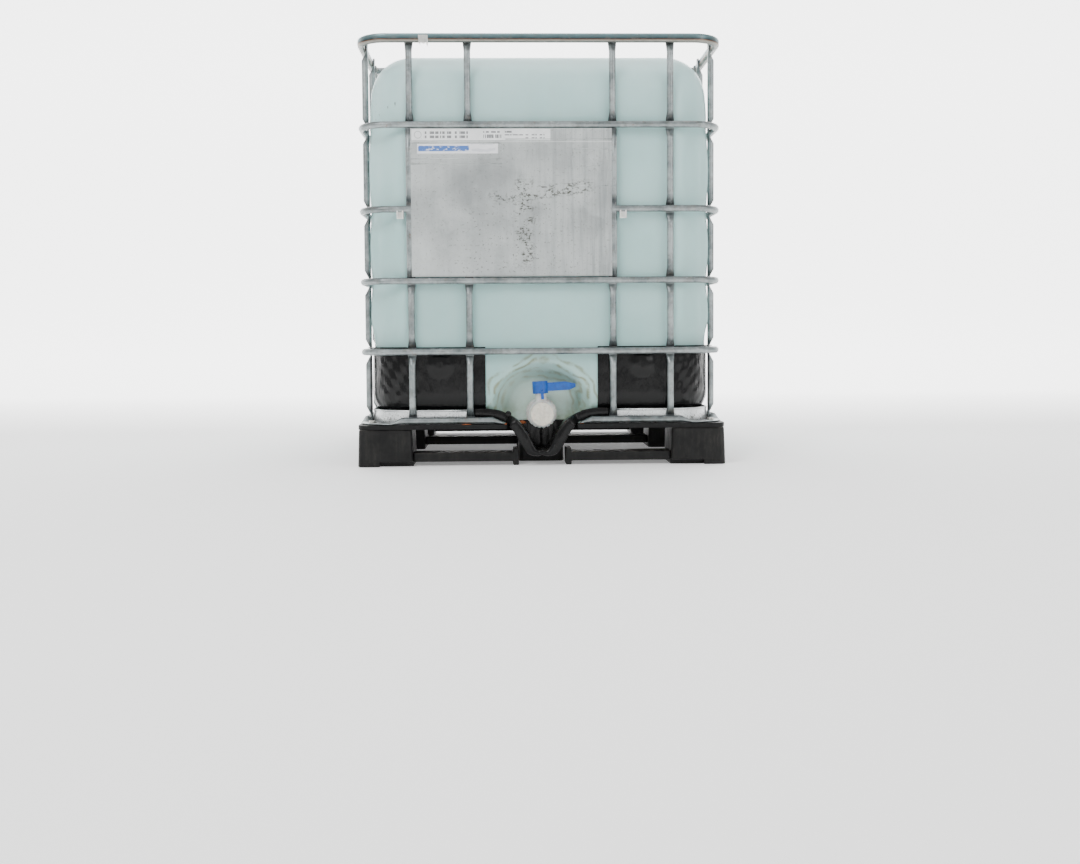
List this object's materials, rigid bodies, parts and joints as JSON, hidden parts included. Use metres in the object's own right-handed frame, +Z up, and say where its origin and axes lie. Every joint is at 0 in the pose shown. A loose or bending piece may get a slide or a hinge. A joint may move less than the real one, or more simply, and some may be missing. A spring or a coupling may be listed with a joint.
{
  "type": "intermediate bulk container",
  "caption": "Pallet tank for liquids: a blow-moulded bottle in a steel tube cage on a plastic pallet, with a screw lid on top and a lever valve with a screw cap at the bottom.",
  "frame": {"origin": "on the floor, under the middle of the pallet", "axes": "+Z up; -Y towards the front, the side with the valve; +X to the right of someone who faces the front"},
  "size_m": [1, 1.2, 1.16],
  "materials": {
    "bottle_hdpe": "translucent blow-moulded polyethylene, satin",
    "black_hdpe": "black moulded polyethylene, dusty",
    "galvanised_steel": "zinc coated steel tube and sheet, dull",
    "plate_steel": "zinc coated sheet, weathered and rubbed",
    "bolt_steel": "plated steel",
    "white_plastic": "natural white moulded plastic",
    "grey_plastic": "dark grey moulded plastic",
    "blue_plastic": "blue moulded plastic",
    "black_rubber": "black seal rubber",
    "paper_film": "printed film label"
  },
  "bodies": {
    "container": {"bottle": "bottle_hdpe", "neck_ring": "bottle_hdpe", "pallet_deck": "black_hdpe", "spout_trough": "black_hdpe", "foot_front_left": "black_hdpe", "foot_front_middle": "black_hdpe", "foot_front_right": "black_hdpe", "foot_middle_left": "black_hdpe", "foot_middle_middle": "black_hdpe", "foot_middle_right": "black_hdpe", "foot_rear_left": "black_hdpe", "foot_rear_middle": "black_hdpe", "foot_rear_right": "black_hdpe", "runner_front": "black_hdpe", "runner_middle": "black_hdpe", "runner_rear": "black_hdpe", "runner_left": "black_hdpe", "runner_right": "black_hdpe", "guard_front_left": "black_hdpe", "guard_front_right": "black_hdpe", "guard_rear_left": "black_hdpe", "guard_rear_right": "black_hdpe", "base_pan": "galvanised_steel", "ring_top": "galvanised_steel", "hoop_upper": "galvanised_steel", "hoop_middle": "galvanised_steel", "hoop_lower": "galvanised_steel", "hoop_guard": "galvanised_steel", "rail_base": "galvanised_steel", "upright_front_outer_left": "galvanised_steel", "upright_front_inner_left": "galvanised_steel", "upright_front_inner_right": "galvanised_steel", "upright_front_outer_right": "galvanised_steel", "upright_rear_outer_left": "galvanised_steel", "upright_rear_inner_left": "galvanised_steel", "upright_rear_middle": "galvanised_steel", "upright_rear_inner_right": "galvanised_steel", "upright_rear_outer_right": "galvanised_steel", "uprights_left": "galvanised_steel", "uprights_right": "galvanised_steel", "cross_bars": "galvanised_steel", "label_plate": "plate_steel", "cage_bolts": "bolt_steel", "cross_bar_screws": "bolt_steel", "valve_body": "white_plastic", "union_nut": "white_plastic", "rail_clips": "white_plastic", "seat_liner": "white_plastic", "neck_gasket": "black_rubber", "stem_seal": "black_rubber", "document_label": "paper_film", "grade_label": "paper_film"},
    "valve_turner": {"valve_handle": "blue_plastic", "handle_screw": "bolt_steel", "valve_stem": "bolt_steel", "valve_flap": "white_plastic"},
    "cap_seal": {"cap_gasket": "black_rubber"},
    "cap": {"outlet_cap": "white_plastic"},
    "lid_seal": {"lid_gasket": "black_rubber"},
    "lid": {"fill_lid": "grey_plastic"}
  },
  "joints": [
    {"name": "valve_turn", "type": "hinge", "parent": "container", "child": "valve_turner", "pos_m": [0, -0.5501, 0.14], "axis": [0.0523, 0, -0.9986], "range_deg": [0, 90]},
    {"name": "cap_lift", "type": "slide", "parent": "container", "child": "cap_seal", "axis": [0, -1, 0], "range_m": [0, 0.018]},
    {"name": "cap_turn", "type": "hinge", "parent": "cap_seal", "child": "cap", "pos_m": [0, -0.592, 0.14], "axis": [0, -1, 0], "range_deg": [0, 1080]},
    {"name": "lid_lift", "type": "slide", "parent": "container", "child": "lid_seal", "axis": [0, 0, 1], "range_m": [0, 0.021]},
    {"name": "lid_turn", "type": "hinge", "parent": "lid_seal", "child": "lid", "pos_m": [0, 0, 1.1439], "axis": [0, 0, 1], "range_deg": [0, 1080]}
  ],
  "couplings": [
    {"joint": "cap_lift", "follows": "cap_turn", "m_per_rad": 0.00095493},
    {"joint": "lid_lift", "follows": "lid_turn", "m_per_rad": 0.0011141}
  ]
}
